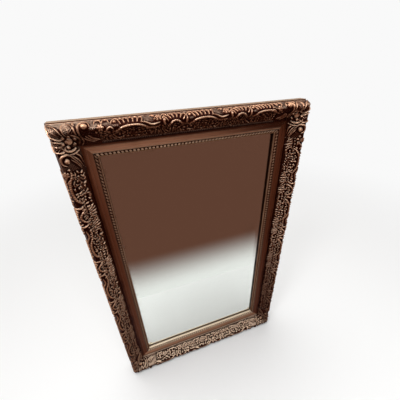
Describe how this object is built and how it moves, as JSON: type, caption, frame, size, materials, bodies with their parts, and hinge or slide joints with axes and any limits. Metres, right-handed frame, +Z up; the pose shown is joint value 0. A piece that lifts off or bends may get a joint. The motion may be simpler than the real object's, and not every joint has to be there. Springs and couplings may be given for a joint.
{
  "type": "wall mirror",
  "caption": "Tall rectangular wall mirror: bevelled glass in a deep bronzed moulding with pressed leaf and scroll ornament, braced back and swinging hanger rings.",
  "frame": {"origin": "centre of the backing board's back face, which faces the wall", "axes": "+Z up along the mirror's height, +X to the right seen from the front, +Y backwards into the wall"},
  "size_m": [0.76, 0.0765, 1.175],
  "materials": {
    "bronzed_timber": "dark red-brown bronzing, rubbed on the edges",
    "bronzed_ornament": "pressed composition, dark brown with rubbed bronze highlights",
    "bronzed_bead": "pressed composition, bronze with dark hollows",
    "plate_glass": "clear polished plate with a ground bevel",
    "silver_coat": "bright silvering under a grey back coat",
    "shim_wood": "plain softwood",
    "key_wood": "glued hardwood",
    "card": "plain brown card",
    "board": "plain plywood",
    "brass_screw": "turned and slotted",
    "steel_screw": "turned and slotted",
    "brace_steel": "zinc plated sheet",
    "hanger_brass": "brass plated steel",
    "pad_rubber": "moulded, matt"
  },
  "bodies": {
    "frame": {"top_rail": "bronzed_timber", "bottom_rail": "bronzed_timber", "left_stile": "bronzed_timber", "right_stile": "bronzed_timber", "ornament_top": "bronzed_ornament", "ornament_bottom": "bronzed_ornament", "ornament_left": "bronzed_ornament", "ornament_right": "bronzed_ornament", "corner_ornament_top_left": "bronzed_ornament", "corner_ornament_top_right": "bronzed_ornament", "corner_ornament_bottom_right": "bronzed_ornament", "corner_ornament_bottom_left": "bronzed_ornament", "sight_bead_top": "bronzed_bead", "sight_bead_bottom": "bronzed_bead", "sight_bead_left": "bronzed_bead", "sight_bead_right": "bronzed_bead", "mirror_glass": "plate_glass", "silvering": "silver_coat", "glass_shims": "shim_wood", "mitre_keys": "key_wood", "packing_sheet": "card", "backing_board": "board", "board_screws": "brass_screw", "corner_brace_top_left": "brace_steel", "corner_brace_top_right": "brace_steel", "corner_brace_bottom_right": "brace_steel", "corner_brace_bottom_left": "brace_steel", "brace_screws": "steel_screw", "hanger_strap_left": "hanger_brass", "wall_pad_left": "pad_rubber", "hanger_strap_right": "hanger_brass", "wall_pad_right": "pad_rubber", "hanger_screws": "steel_screw"},
    "ring_left": {"hanger_ring_left": "hanger_brass"},
    "ring_right": {"hanger_ring_right": "hanger_brass"}
  },
  "joints": [
    {"name": "ring_left_swing", "type": "hinge", "parent": "frame", "child": "ring_left", "pos_m": [-0.338, 0.00376, 0.2975], "axis": [1, 0, 0], "range_deg": [0, 180]},
    {"name": "ring_right_swing", "type": "hinge", "parent": "frame", "child": "ring_right", "pos_m": [0.338, 0.00376, 0.2975], "axis": [1, 0, 0], "range_deg": [0, 180]}
  ]
}
